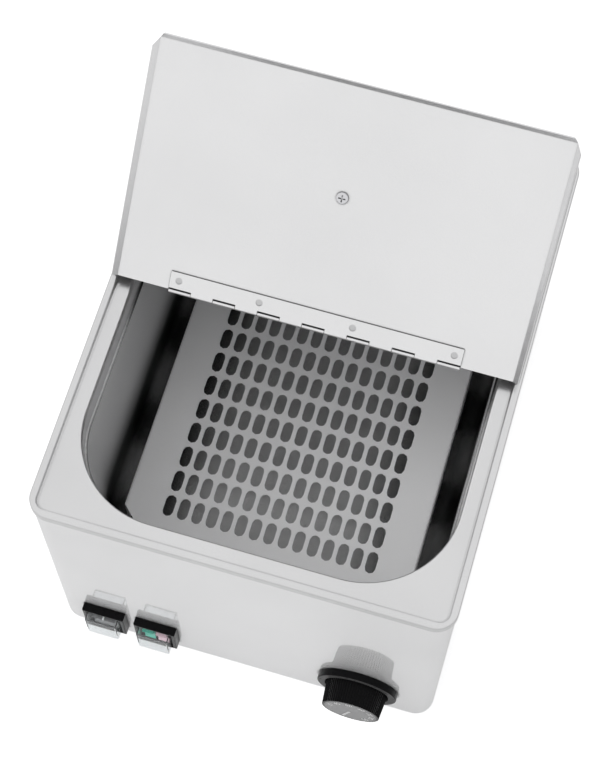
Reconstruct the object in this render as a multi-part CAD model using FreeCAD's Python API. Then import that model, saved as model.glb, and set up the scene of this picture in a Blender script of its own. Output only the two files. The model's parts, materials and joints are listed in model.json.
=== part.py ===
"""Counter-top sausage steamer: a stainless steel box with a deep water basin, a loose
perforated tray, a lid in two halves on a piano hinge, and its heating and controls.

All sizes are in millimetres. Z points up and the feet stand on Z = 0. X runs along the
front, to the right, and the front faces -Y. The origin is below the middle of the whole.
"""
import FreeCAD, Part
import math
import os

Vec = FreeCAD.Vector

# Sheet metal, fits and overruns
SHEET = 1.0
FACE_GAP = 0.3
SLIP_GAP = 0.2
PIN_GAP = 0.05
OVERRUN = 5.0

# Deck: the top cover with a raised rim, a recess for the lid and the basin's opening
DECK_W = 270.0
DECK_D = 336.0
DECK_R = 14.0
SKIRT_H = 7.0
RIM_W = 4.8
RIM_STEP = 4.0
RIM_BEND = 2.2
RECESS_R = 7.0
STEP_BEND = 0.8
RECESS_BEND = 1.2
OPEN_MARGIN_X = 15.0
OPEN_MARGIN_Y = 15.5
OPEN_R = 60.0
LIP_H = 6.0
LIP_BEND = 1.6

# Housing: the wall all round, the plate below it and the feet
BODY_H = 220.0
WALL_TOP_DROP = 3.5
FLANGE_W = 13.0
BOTTOM_BEND = 1.6
BASE_INSET = 1.0
FOOT_H = 18.0
FOOT_R = 13.0
FOOT_TAPER = 2.0
FOOT_INSET = 32.0
FOOT_RECESS_R = 6.0
FOOT_RECESS_H = 9.0
VENT_L = 34.0
VENT_W = 4.0
VENT_PITCH = 12.0
VENT_ROWS = 5
VENT_X_SHARE = 0.225
LOUVRE_L = 50.0
LOUVRE_W = 5.0
LOUVRE_PITCH = 11.0
LOUVRE_COUNT = 4
LOUVRE_X_SHARE = 0.23
LOUVRE_TOP = 104.0
LOUVRE_OUT = 1.6

# Basin: the deep drawn water tank under the deck, with a service space below it
SERVICE_H = 66.0
SHOULDER_DROP = 20.0
SHOULDER_IN = 1.6
BASIN_DRAFT = 3.5
BASIN_FLOOR_R = 10.0
SHOULDER_BEND = 1.2

# Tray: the loose perforated plate that the sausages lie on
TRAY_MARGIN_X = 20.0
TRAY_MARGIN_Y = 17.5
TRAY_H = 33.0
TRAY_CHAMFER = 27.5
TRAY_BEND = 2.0
SLOT_W = 7.2
SLOT_L = 15.5
SLOT_PITCH_X = 10.07
SLOT_PITCH_Y = 18.3
SLOT_MARGIN_X = 29.0
SLOT_MARGIN_Y = 34.0
SLOT_END_SIDES = 4
LEG_ARCH_L = 40.0
LEG_ARCH_H = 16.0
LEG_ARCHES = 3

# Lid: two flat halves with turned-down lips, joined by a piano hinge, the front one open
LID_INSET_X = 5.9
LID_INSET_Y = 7.7
LIP_W = 4.25
LIP_TURN = 45.0
LIP_CUT_SHARES = (1.6, 0.7)
LIP_ROUND = 2.0
HINGE_AHEAD = 3.0
OPEN_ANGLE = 134.7
STOP_GAP = 0.15
FLAP_START = 0.9
KNUCKLE_R = 1.4
KNUCKLE_PITCH = 14.65
KNUCKLES = 13
KNUCKLE_GAP = 0.3
HINGE_PIN_R = 0.6
LEAF_T = 1.0
LEAF_REACH = 13.4
LEAF_NOTCH = 1.0
RIVET_R = 1.6
RIVET_HEAD_R = 2.3
RIVET_HEAD_H = 0.25
RIVET_REACH = 8.0
RIVET_X_SHARES = (-0.94, -0.385, 0.255, 0.945)
KNOB_REACH = 88.0
LID_KNOB_R = 16.0
LID_KNOB_NECK_R = 9.0
LID_KNOB_BASE_R = 12.0
LID_KNOB_H = 25.0
LID_KNOB_FOOT = 3.0
LID_KNOB_HEAD_SHARE = 0.4
LID_KNOB_SIDE_SHARE = 0.7
LID_KNOB_CROWN_SHARES = (0.8, 0.1)
LID_SCREW_R = 2.0
LID_SCREW_L = 14.0
LID_SCREW_HEAD_R = 3.8
LID_SCREW_HEAD_H = 2.0
LID_SCREW_ROUND_SHARE = 0.4

# Switches: bezel, clear splash cap, body and rockers, on the left of the front
SWITCH_RISE = 28.5
SWITCH_INSET = 35.1
SWITCH_SPACING = 37.0
BEZEL_W = 29.7
BEZEL_H = 33.0
BEZEL_OUT = 5.8
BEZEL_BEND = 0.9
BEZEL_GROOVE = 1.2
BEZEL_GROOVE_DEEP = 4.0
CAP_W = 22.4
CAP_H = 29.0
CAP_OUT = 11.5
CAP_T = 0.9
SWITCH_W = 20.0
SWITCH_H = 26.6
SWITCH_DEEP = 24.0
SWITCH_OUT = 1.6
SWITCH_WALL = 1.1
SWITCH_FLOOR = 3.0
SWITCH_TAB_W = 4.8
SWITCH_TAB_T = 0.8
SWITCH_TAB_L = 7.0
CELL_WALL = 1.4
ROCKER_GAP = 0.25
ROCKER_H = 21.6
ROCKER_OUT = 10.0
ROCKER_DIP = 2.0
ROCKER_BACK = 5.0
ROCKER_PIVOT = 4.6
ROCKER_HUB_R = 2.6
ROCKER_TILT = 8.0
ROCKER_PIN_R = 1.0

# Thermostat: collar, knurled knob, shaft and body, on the right of the front
KNOB_INSET = 52.0
KNOB_RISE = 39.0
KNOB_OUT = 20.0
COLLAR_R = 27.8
COLLAR_OUT = 4.8
COLLAR_POCKET_R = 22.6
COLLAR_FLOOR = 1.5
COLLAR_BEND = 0.8
GRIP_R = 21.4
GRIP_TIP_R = 19.9
GRIP_TEETH = 72
GRIP_TOOTH = 0.45
GRIP_WALL = 2.0
GRIP_FACE = 3.0
GRIP_HUB_R = 5.5
GRIP_LIFT = 0.5
DIAL_R = 18.2
DIAL_T = 0.6
SHAFT_R = 3.0
SHAFT_FLAT = 1.2
SHAFT_BLIND = 1.5
SHAFT_IN = 16.0
STAT_W = 40.0
STAT_H = 34.0
STAT_DEEP = 30.0
STAT_BEVEL = 4.0
STAT_PLATE_W = 46.0
STAT_BUSH_R = 5.0
STAT_SCREW_SPACING = 28.0
STAT_SCREW_R = 1.9
STAT_SCREW_HEAD_R = 3.4
STAT_SCREW_HEAD_H = 1.4
STAT_SCREW_L = 8.0

# Heating under the basin: spreader, element, clamps, bulb and cut-out
SPREADER_MARGIN_X = 30.0
SPREADER_MARGIN_Y = 52.5
SPREADER_R = 10.0
SPREADER_T = 2.0
SPREADER_BACK = 20.0
ELEMENT_R = 3.3
ELEMENT_MARGIN = 15.0
ELEMENT_SIDE = 24.0
ELEMENT_RUNS = 4
TERMINAL_R = 1.6
TERMINAL_L = 12.0
CLAMP_W = 16.0
CLAMP_T = 1.5
CLAMP_MARGIN = 4.0
CLAMP_OFFSET_SHARE = 0.275
STUD_R = 2.5
STUD_L = 15.0
NUT_ACROSS = 8.0
NUT_H = 4.0
BULB_R = 3.2
BULB_L = 70.0
BULB_AHEAD = 15.2
CLIP_T = 0.8
CLIP_W = 8.0
CLIP_WING = 7.0
CAPILLARY_R = 0.9
CUTOUT_R = 8.0
CUTOUT_H = 7.0
CUTOUT_FLANGE_W = 12.0
CUTOUT_FLANGE_D = 32.0
CUTOUT_HOLE_Y = 12.0
CUTOUT_SCREW_R = 1.5
CUTOUT_SCREW_HEAD_R = 2.8
CUTOUT_SCREW_HEAD_H = 1.8

# Electrical parts on the base plate and the rear wall
BLOCK_W = 34.0
BLOCK_D = 22.0
BLOCK_H = 17.0
BLOCK_INSET = 74.0
BLOCK_BACK = 60.0
BLOCK_POLES = 3
BLOCK_SCREW_R = 1.8
BLOCK_SCREW_H = 1.0
GLAND_INSET = 42.0
GLAND_Z = 46.0
GLAND_BORE_R = 4.5
GLAND_THREAD_R = 9.0
GLAND_HEX = 24.0
GLAND_HEX_L = 7.0
GLAND_DOME_L = 14.0
GLAND_DOME_R = 10.5
GLAND_TIP_R = 7.0
GLAND_INSIDE_L = 9.0
GLAND_NUT_L = 5.0
EARTH_ASIDE = 50.0
EARTH_R = 2.5
EARTH_L = 16.0

# Screws in the base plate and the feet
BASE_SCREW_R = 1.9
BASE_SCREW_HEAD_R = 3.6
BASE_SCREW_HEAD_H = 2.0
BASE_SCREW_L = 8.0
BASE_SCREW_ALONG_SHARES = (-0.34, 0.34)
FOOT_SCREW_R = 2.4
FOOT_SCREW_HEAD_R = 4.5
FOOT_SCREW_HEAD_H = 3.0
CROSS_ARM_SHARE = 0.6
CROSS_BLADE_SHARE = 0.12
CROSS_DEEP_SHARE = 0.6

# Heights and places that follow from the sizes above
Z_WALL = FOOT_H
Z_BASE = FOOT_H - SHEET
Z_RIM = FOOT_H + BODY_H
Z_DECK = Z_RIM - RIM_STEP
Z_LIP = Z_DECK - LIP_H
Z_SHOULDER = Z_DECK - SHOULDER_DROP
Z_FLOOR = Z_WALL + SERVICE_H
Z_UNDER = Z_FLOOR - SHEET
Z_TRAY = Z_FLOOR + TRAY_H
LIP_DROP = LIP_W * math.sin(math.radians(LIP_TURN))
LIP_REACH = LIP_W * math.cos(math.radians(LIP_TURN)) + SHEET * math.sin(math.radians(LIP_TURN))
Z_LID = Z_RIM + FACE_GAP + LIP_DROP + SHEET
AXIS_DROP = SHEET + LEAF_T - KNUCKLE_R
Z_HINGE = Z_LID - AXIS_DROP
Z_SWITCH = Z_WALL + SWITCH_RISE
Z_KNOB = Z_WALL + KNOB_RISE
GLAND_OUT = GLAND_HEX_L + GLAND_DOME_L
FRONT_REACH = KNOB_OUT - SHEET
REAR_REACH = GLAND_OUT - SHEET
Y_FRONT = FRONT_REACH - (DECK_D + FRONT_REACH + REAR_REACH) / 2
Y_MID = Y_FRONT + DECK_D / 2
Y_BACK = Y_FRONT + DECK_D
Y_WALL = Y_FRONT + SHEET
Y_PANEL = Y_WALL + SHEET
Y_REAR_WALL = Y_BACK - SHEET
Y_HINGE = Y_MID - HINGE_AHEAD
WALL_W = DECK_W - 2 * SHEET
WALL_D = DECK_D - 2 * SHEET
WALL_R = DECK_R - SHEET
OPEN_W = DECK_W - 2 * OPEN_MARGIN_X
OPEN_D = DECK_D - 2 * OPEN_MARGIN_Y
TRAY_W = OPEN_W - 2 * TRAY_MARGIN_X
TRAY_D = OPEN_D - 2 * TRAY_MARGIN_Y
SLOT_COLUMNS = 1 + int((TRAY_W - 2 * SLOT_MARGIN_X) / SLOT_PITCH_X)
SLOT_ROWS = 1 + int((TRAY_D - 2 * SLOT_MARGIN_Y) / SLOT_PITCH_Y)
POWER_X = SWITCH_INSET - WALL_W / 2
SIGNAL_X = POWER_X + SWITCH_SPACING
KNOB_X = WALL_W / 2 - KNOB_INSET
GLAND_X = WALL_W / 2 - GLAND_INSET
BLOCK_X = WALL_W / 2 - BLOCK_INSET
EARTH_X = BLOCK_X - EARTH_ASIDE
SPREADER_W = OPEN_W - 2 * SPREADER_MARGIN_X
SPREADER_D = OPEN_D - 2 * SPREADER_MARGIN_Y
ELEMENT_RUN = SPREADER_D - 2 * ELEMENT_MARGIN
ELEMENT_PITCH = (SPREADER_W - 2 * ELEMENT_SIDE) / (ELEMENT_RUNS - 1)
LID_HALF_W = DECK_W / 2 - LID_INSET_X
Y_LID_FRONT = Y_FRONT + LID_INSET_Y
Y_LID_BACK = Y_BACK - LID_INSET_Y
HINGE_L = KNUCKLES * KNUCKLE_PITCH


# Helpers
def box(x0, x1, y0, y1, z0, z1):
    return Part.makeBox(x1 - x0, y1 - y0, z1 - z0, Vec(x0, y0, z0))


def cylinder(radius, start, end):
    axis = end - start
    return Part.makeCylinder(radius, axis.Length, start, axis)


def cone(radius_start, radius_end, start, end):
    axis = end - start
    return Part.makeCone(radius_start, radius_end, axis.Length, start, axis)


def rounded_wire(width, depth, radius, z):
    """A rounded rectangle about the middle of the deck, at height z."""
    x, y = width / 2, depth / 2
    corners = ((x, -y), (x, y), (-x, y), (-x, -y))
    edges = []
    for number, (cx, cy) in enumerate(corners):
        centre = Vec(cx - math.copysign(radius, cx), Y_MID + cy - math.copysign(radius, cy), z)
        start, middle, end = (
            centre + Vec(radius * math.cos(turn), radius * math.sin(turn), 0)
            for turn in (math.pi / 4 * (2 * number + step - 2) for step in range(3))
        )
        if edges:
            edges.append(Part.makeLine(edges[-1].Vertexes[-1].Point, start))
        edges.append(Part.Arc(start, middle, end).toShape())
    edges.append(Part.makeLine(edges[-1].Vertexes[-1].Point, edges[0].Vertexes[0].Point))
    return Part.Wire(edges)


def rounded_block(width, depth, radius, z0, z1):
    return Part.Face(rounded_wire(width, depth, radius, z0)).extrude(Vec(0, 0, z1 - z0))


def drafted_block(width, depth, radius, z0, z1, draft):
    """A rounded block whose outline is smaller by the draft, all round, at its foot z0."""
    low = rounded_wire(width - 2 * draft, depth - 2 * draft, radius - draft, z0)
    high = rounded_wire(width, depth, radius, z1)
    return Part.makeLoft([low, high], True, True)


def level_edges(shape, z, reach=None):
    """Edges that lie flat at height z, within a half width if one is given."""
    found = []
    for edge in shape.Edges:
        bounds = edge.BoundBox
        level = abs(bounds.ZMin - z) < PIN_GAP and abs(bounds.ZMax - z) < PIN_GAP
        if level and (reach is None or max(bounds.XMax, -bounds.XMin) <= reach + PIN_GAP):
            found.append(edge)
    return found


def round_level(shape, z, radius, reach=None):
    return shape.makeFillet(radius, level_edges(shape, z, reach))


def fuse(shapes):
    shapes = list(shapes)
    if len(shapes) == 1:
        return shapes[0]
    return shapes[0].fuse(shapes[1:]).removeSplitter()


def group(shapes):
    return Part.makeCompound(list(shapes))


def hexagon(across, start, end):
    """A hexagonal bar along Y or Z, flats to the sides."""
    axis = end - start
    radius = across / math.sqrt(3)
    points = []
    for number in range(7):
        turn = math.pi / 3 * number
        flat, tall = radius * math.cos(turn), radius * math.sin(turn)
        points.append(start + (Vec(flat, 0, tall) if abs(axis.z) < PIN_GAP else Vec(flat, tall, 0)))
    return Part.Face(Part.makePolygon(points)).extrude(axis)


def ring(outer, inner, start, end):
    return cylinder(outer, start, end).cut(cylinder(inner, start, end))


def drilled(shape, radius, start, end):
    return shape.cut(cylinder(radius, start, end))


def mirrored_x(x):
    return (-x, x)


# Deck
def make_deck_cover():
    deck = rounded_block(DECK_W, DECK_D, DECK_R, Z_LIP, Z_RIM)
    deck = round_level(deck, Z_RIM, RIM_BEND)
    recess_w, recess_d = DECK_W - 2 * RIM_W, DECK_D - 2 * RIM_W
    recess = rounded_block(recess_w, recess_d, RECESS_R, Z_DECK, Z_RIM + OVERRUN)
    deck = deck.cut(round_level(recess, Z_DECK, RECESS_BEND))
    deck = round_level(deck, Z_RIM, STEP_BEND, recess_w / 2)
    deck = deck.cut(rounded_block(OPEN_W, OPEN_D, OPEN_R, Z_LIP - OVERRUN, Z_RIM))
    deck = round_level(deck, Z_DECK, LIP_BEND, OPEN_W / 2)
    return deck.cut(make_deck_underside()).cut(make_skirt_trim())


def make_deck_underside():
    """The space below the sheet: inside the skirt, under the rim and round the lip."""
    hollow = rounded_block(WALL_W, WALL_D, WALL_R, Z_LIP - OVERRUN, Z_RIM - SHEET)
    hollow = round_level(hollow, Z_RIM - SHEET, RIM_BEND - SHEET)
    recess_w, recess_d = DECK_W - 2 * RIM_W + 2 * SHEET, DECK_D - 2 * RIM_W + 2 * SHEET
    hollow = hollow.cut(rounded_block(recess_w, recess_d, RECESS_R + SHEET, Z_DECK - SHEET, Z_RIM))
    lip_w, lip_d = OPEN_W + 2 * SHEET, OPEN_D + 2 * SHEET
    hollow = hollow.cut(rounded_block(lip_w, lip_d, OPEN_R + SHEET, Z_LIP - 2 * OVERRUN, Z_RIM))
    return round_level(hollow, Z_DECK - SHEET, LIP_BEND - SHEET, lip_w / 2)


def make_skirt_trim():
    trim = rounded_block(DECK_W + OVERRUN, DECK_D + OVERRUN, DECK_R, Z_LIP - OVERRUN, Z_RIM - SKIRT_H)
    return trim.cut(rounded_block(WALL_W, WALL_D, WALL_R, Z_LIP - 2 * OVERRUN, Z_RIM))


# Basin
def basin_space(wall):
    """The inside of the basin, grown all round by a wall thickness."""
    upper = rounded_block(OPEN_W + 2 * wall, OPEN_D + 2 * wall, OPEN_R + wall, Z_SHOULDER - wall, Z_LIP)
    upper = round_level(upper, Z_SHOULDER - wall, SHOULDER_BEND + wall)
    inset = SHOULDER_IN - wall
    lower = drafted_block(
        OPEN_W - 2 * inset, OPEN_D - 2 * inset, OPEN_R - inset, Z_FLOOR - wall, Z_LIP, BASIN_DRAFT)
    return upper.fuse(round_level(lower, Z_FLOOR - wall, BASIN_FLOOR_R + wall))


def make_basin():
    """The tank hangs from the deck's lip, to which its upper edge is butt welded."""
    return basin_space(SHEET).cut(basin_space(0)).removeSplitter()


# Housing
def make_housing():
    shell = rounded_block(WALL_W, WALL_D, WALL_R, Z_WALL, Z_RIM - WALL_TOP_DROP)
    shell = round_level(shell, Z_WALL, BOTTOM_BEND)
    inner_w, inner_d = WALL_W - 2 * SHEET, WALL_D - 2 * SHEET
    shell = shell.cut(rounded_block(inner_w, inner_d, WALL_R - SHEET, Z_WALL + SHEET, Z_RIM))
    window_w, window_d = WALL_W - 2 * FLANGE_W, WALL_D - 2 * FLANGE_W
    shell = shell.cut(rounded_block(window_w, window_d, WALL_R - SHEET, Z_BASE, Z_RIM))
    shell = shell.cut(group(front_cutouts())).cut(group(base_screw_holes()))
    return add_louvres(drill_gland(shell))


def housing_sheets():
    """The housing's four sheets, butted together where the side walls meet the rounded corners."""
    shell = make_housing()
    seam_front, seam_rear = Y_WALL + WALL_R, Y_REAR_WALL - WALL_R
    spans = {
        "housing_front": (-DECK_W, DECK_W, Y_FRONT, seam_front),
        "housing_left": (-DECK_W, 0, seam_front, seam_rear),
        "housing_right": (0, DECK_W, seam_front, seam_rear),
        "housing_rear": (-DECK_W, DECK_W, seam_rear, Y_BACK + LOUVRE_OUT),
    }
    return {name: shell.common(box(*span, 0, Z_RIM)) for name, span in spans.items()}


def front_cutouts():
    """Windows for the two switches, and holes for the thermostat's bush and screws."""
    y0, y1 = Y_WALL - SLIP_GAP, Y_PANEL + SLIP_GAP
    half_w, half_h = SWITCH_W / 2 + SLIP_GAP, SWITCH_H / 2 + SLIP_GAP
    cuts = [box(x - half_w, x + half_w, y0, y1, Z_SWITCH - half_h, Z_SWITCH + half_h)
            for x in (POWER_X, SIGNAL_X)]
    cuts.append(cylinder(STAT_BUSH_R + SLIP_GAP, Vec(KNOB_X, y0, Z_KNOB), Vec(KNOB_X, y1, Z_KNOB)))
    cuts += [cylinder(STAT_SCREW_R + PIN_GAP, Vec(x, y0, Z_KNOB), Vec(x, y1, Z_KNOB))
             for x in stat_screw_xs()]
    return cuts


def drill_gland(shell):
    y0, y1 = Y_REAR_WALL - SHEET - SLIP_GAP, Y_REAR_WALL + SLIP_GAP
    return drilled(shell, GLAND_THREAD_R + PIN_GAP, Vec(GLAND_X, y0, GLAND_Z), Vec(GLAND_X, y1, GLAND_Z))


def add_louvres(shell):
    """Pressed ventilation louvres on the rear wall: an open slit under a sloping hood."""
    inner, outer = Y_REAR_WALL - SHEET, Y_REAR_WALL
    for x in mirrored_x(LOUVRE_X_SHARE * WALL_W):
        for number in range(LOUVRE_COUNT):
            top = LOUVRE_TOP - number * LOUVRE_PITCH
            low = top - LOUVRE_W
            x0, x1 = x - LOUVRE_L / 2, x + LOUVRE_L / 2
            slit = box(x0, x1, inner - SLIP_GAP, outer + SLIP_GAP, low, top - SHEET)
            profile = Part.makePolygon([
                Vec(x0, outer - SHEET / 2, top), Vec(x0, outer + LOUVRE_OUT - SHEET, low),
                Vec(x0, outer + LOUVRE_OUT, low), Vec(x0, outer, top), Vec(x0, outer - SHEET / 2, top)])
            hood = Part.Face(profile).extrude(Vec(x1 - x0, 0, 0))
            shell = shell.cut(slit).fuse(hood)
    return shell.removeSplitter()


def base_screw_places():
    """Points along the middle of the housing's bottom flange, two on each side."""
    inset = FLANGE_W / 2
    side_x, side_y = WALL_W / 2 - inset, WALL_D / 2 - inset
    places = []
    for share in BASE_SCREW_ALONG_SHARES:
        places += [Vec(share * WALL_W, Y_MID + y, 0) for y in (-side_y, side_y)]
        places += [Vec(x, Y_MID + share * WALL_D, 0) for x in (-side_x, side_x)]
    return places


def base_screw_holes():
    low, high = Vec(0, 0, Z_BASE - OVERRUN), Vec(0, 0, Z_WALL + 2 * SHEET)
    return [cylinder(BASE_SCREW_R + PIN_GAP, place + low, place + high) for place in base_screw_places()]


# Base plate, feet and their screws
def foot_places():
    half_x, half_y = WALL_W / 2 - FOOT_INSET, WALL_D / 2 - FOOT_INSET
    return {
        "foot_front_left": Vec(-half_x, Y_MID - half_y, 0),
        "foot_front_right": Vec(half_x, Y_MID - half_y, 0),
        "foot_rear_left": Vec(-half_x, Y_MID + half_y, 0),
        "foot_rear_right": Vec(half_x, Y_MID + half_y, 0),
    }


def make_base_plate():
    width, depth = WALL_W - 2 * BASE_INSET, WALL_D - 2 * BASE_INSET
    plate = rounded_block(width, depth, WALL_R - BASE_INSET, Z_BASE, Z_WALL)
    low, high = Z_BASE - SLIP_GAP, Z_WALL + SLIP_GAP
    cuts = base_screw_holes()
    cuts += [cylinder(FOOT_SCREW_R, place + Vec(0, 0, low), place + Vec(0, 0, high))
             for place in foot_places().values()]
    cuts += [cylinder(EARTH_R, Vec(EARTH_X, earth_y(), low), Vec(EARTH_X, earth_y(), high))]
    for x in mirrored_x(VENT_X_SHARE * WALL_W):
        for row in range(VENT_ROWS):
            y = Y_MID + (row - (VENT_ROWS - 1) / 2) * VENT_PITCH
            cuts.append(box(x - VENT_L / 2, x + VENT_L / 2, y - VENT_W / 2, y + VENT_W / 2, low, high))
    return plate.cut(group(cuts))


def make_foot(place):
    foot = cone(FOOT_R - FOOT_TAPER, FOOT_R, place, place + Vec(0, 0, Z_BASE))
    foot = drilled(foot, FOOT_RECESS_R, place, place + Vec(0, 0, FOOT_RECESS_H))
    return drilled(foot, FOOT_SCREW_R, place, place + Vec(0, 0, Z_BASE))


def make_foot_screws():
    """A screw up through each foot, with a nut on the base plate."""
    screws = []
    for place in foot_places().values():
        head = place + Vec(0, 0, FOOT_RECESS_H)
        top = place + Vec(0, 0, Z_WALL + NUT_H)
        screws.append(fuse([
            cylinder(FOOT_SCREW_HEAD_R, head - Vec(0, 0, FOOT_SCREW_HEAD_H), head),
            cylinder(FOOT_SCREW_R, head, top),
            hexagon(NUT_ACROSS, place + Vec(0, 0, Z_WALL), top)]))
    return group(screws)


def make_base_screws():
    screws = []
    for place in base_screw_places():
        seat = place + Vec(0, 0, Z_BASE)
        tip = seat - Vec(0, 0, BASE_SCREW_HEAD_H)
        head = cylinder(BASE_SCREW_HEAD_R, tip, seat)
        head = head.cut(cross_recess(tip, BASE_SCREW_HEAD_R, BASE_SCREW_HEAD_H))
        screws.append(head.fuse(cylinder(BASE_SCREW_R, seat, seat + Vec(0, 0, BASE_SCREW_L))))
    return group(screws)


def cross_recess(tip, head_radius, head_height):
    """The cross in a screw head that faces down, at the point tip."""
    arm, blade = CROSS_ARM_SHARE * head_radius, CROSS_BLADE_SHARE * head_radius
    deep = CROSS_DEEP_SHARE * head_height
    bars = [box(tip.x - a, tip.x + a, tip.y - b, tip.y + b, tip.z - deep, tip.z + deep)
            for a, b in ((arm, blade), (blade, arm))]
    return bars[0].fuse(bars[1])


# Tray
def slot_face(x, y, z):
    """One obround slot, with its length along Y."""
    radius, straight = SLOT_W / 2, (SLOT_L - SLOT_W) / 2
    points = []
    for end in (1, -1):
        for step in range(SLOT_END_SIDES + 1):
            turn = math.pi * step / SLOT_END_SIDES
            across, along = radius * math.cos(turn), straight + radius * math.sin(turn)
            points.append(Vec(x + end * across, y + end * along, z))
    return Part.Face(Part.makePolygon(points + points[:1]))


def make_tray():
    x, y = TRAY_W / 2, TRAY_D / 2
    short_x, short_y = x - TRAY_CHAMFER, y - TRAY_CHAMFER
    feet = Z_FLOOR + FACE_GAP
    outline = [(-short_x, -y), (short_x, -y), (x, -short_y), (x, short_y),
               (short_x, y), (-short_x, y), (-x, short_y), (-x, -short_y)]
    points = [Vec(px, Y_MID + py, feet) for px, py in outline]
    tray = Part.Face(Part.makePolygon(points + points[:1])).extrude(Vec(0, 0, Z_TRAY - feet))
    sides = [edge for edge in level_edges(tray, Z_TRAY) if abs(abs(edge.CenterOfMass.x) - x) < PIN_GAP]
    tray = tray.makeFillet(TRAY_BEND, sides)
    inner, beyond = x - SHEET, y + OVERRUN
    inside = box(-inner, inner, Y_MID - beyond, Y_MID + beyond, feet - OVERRUN, Z_TRAY - SHEET)
    tops = [edge for edge in level_edges(inside, Z_TRAY - SHEET) if abs(edge.CenterOfMass.x) > PIN_GAP]
    tray = tray.cut(inside.makeFillet(TRAY_BEND - SHEET, tops))
    return tray.cut(group(leg_arches(feet))).cut(slot_cuts())


def leg_arches(feet):
    """Openings in both side flanges that let the water through."""
    reach = TRAY_W / 2 + OVERRUN
    pitch = (TRAY_D - 2 * TRAY_CHAMFER) / LEG_ARCHES
    arches = []
    for number in range(LEG_ARCHES):
        y0 = Y_MID + (number - (LEG_ARCHES - 1) / 2) * pitch - LEG_ARCH_L / 2
        arches.append(box(-reach, reach, y0, y0 + LEG_ARCH_L, feet - OVERRUN, feet + LEG_ARCH_H))
    return arches


def slot_cuts():
    """All the slots as one group of prisms, through the plate."""
    low = Z_TRAY - SHEET - SLIP_GAP
    up = Vec(0, 0, SHEET + 2 * SLIP_GAP)
    slots = []
    for column in range(SLOT_COLUMNS):
        x = (column - (SLOT_COLUMNS - 1) / 2) * SLOT_PITCH_X
        for row in range(SLOT_ROWS):
            y = Y_MID + (row - (SLOT_ROWS - 1) / 2) * SLOT_PITCH_Y
            slots.append(slot_face(x, y, low).extrude(up))
    return group(slots)


# Lid and hinge, drawn closed; the front half is then turned open about the hinge
def opened(shape):
    shape.rotate(Vec(0, Y_HINGE, Z_HINGE), Vec(1, 0, 0), -OPEN_ANGLE)
    return shape


def rear_setback():
    """How far behind the hinge axis the rear half starts, so that it stops the open flap."""
    turn = math.radians(OPEN_ANGLE)
    return (AXIS_DROP * (1 - math.cos(turn)) + STOP_GAP) / math.sin(turn)


def lid_half(hinge_y, end_y):
    """A flat sheet from its edge at the hinge to its far end, with lips on three sides."""
    side = 1 if end_y > hinge_y else -1
    y0, y1 = min(hinge_y, end_y), max(hinge_y, end_y)
    inside = Z_LID - SHEET
    lips = [lip(Vec(-LID_HALF_W, end_y, inside), Vec(0, side, 0), Vec(2 * LID_HALF_W, 0, 0))]
    for x in mirrored_x(LID_HALF_W):
        lips.append(lip(Vec(x, y0, inside), Vec(math.copysign(1, x), 0, 0), Vec(0, y1 - y0, 0)))
    sheet = box(-LID_HALF_W, LID_HALF_W, y0, y1, inside, Z_LID).fuse(lips)
    return sheet.cut(group(lip_cuts(hinge_y, end_y, side))).removeSplitter()


def lip(root, out, run):
    """A turned-down lip along one edge of a sheet, from a point on its inside bend."""
    turn = math.radians(LIP_TURN)
    tip = root + (out * math.cos(turn) - Vec(0, 0, math.sin(turn))) * LIP_W
    outer_tip = tip + (out * math.sin(turn) + Vec(0, 0, math.cos(turn))) * SHEET
    top = root + Vec(0, 0, SHEET)
    bend = top + out * SHEET * math.tan(turn / 2)
    points = [root - out * LIP_W, root, tip, outer_tip, bend, top - out * LIP_W]
    return Part.Face(Part.makePolygon(points + points[:1])).extrude(run)


def lip_cuts(hinge_y, end_y, side):
    """Cut-away lip ends at the far corners, and rounded ones at the hinge."""
    cuts = []
    far = 2 * LIP_W
    low, up = Z_LID - SHEET - LIP_W, Vec(0, 0, far)
    side_share, end_share = LIP_CUT_SHARES
    for x in mirrored_x(LID_HALF_W):
        out = math.copysign(1, x)
        corner = Vec(x, end_y, low)
        beside = Vec(out * far, -side * side_share * far, 0)
        ahead = Vec(-out * end_share * far, side * far, 0)
        for first, last in ((Vec(out * far, 0, 0), beside), (Vec(0, side * far, 0), ahead)):
            points = [corner, corner + first, corner + last, corner]
            cuts.append(Part.Face(Part.makePolygon(points)).extrude(up))
        middle = Vec(x + out * (LIP_REACH - LIP_ROUND), hinge_y + side * LIP_ROUND, low)
        x0, x1 = sorted((middle.x, x + out * far))
        y0, y1 = sorted((hinge_y - side * OVERRUN, middle.y))
        cuts.append(box(x0, x1, y0, y1, low, low + far).cut(cylinder(LIP_ROUND, middle - up, middle + up)))
    return cuts


def rivet_places(side):
    y = Y_HINGE + side * RIVET_REACH
    return [Vec(share * HINGE_L / 2, y, 0) for share in RIVET_X_SHARES]


def knuckle_span(number):
    start = number * KNUCKLE_PITCH - HINGE_L / 2
    return start, start + KNUCKLE_PITCH


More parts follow.
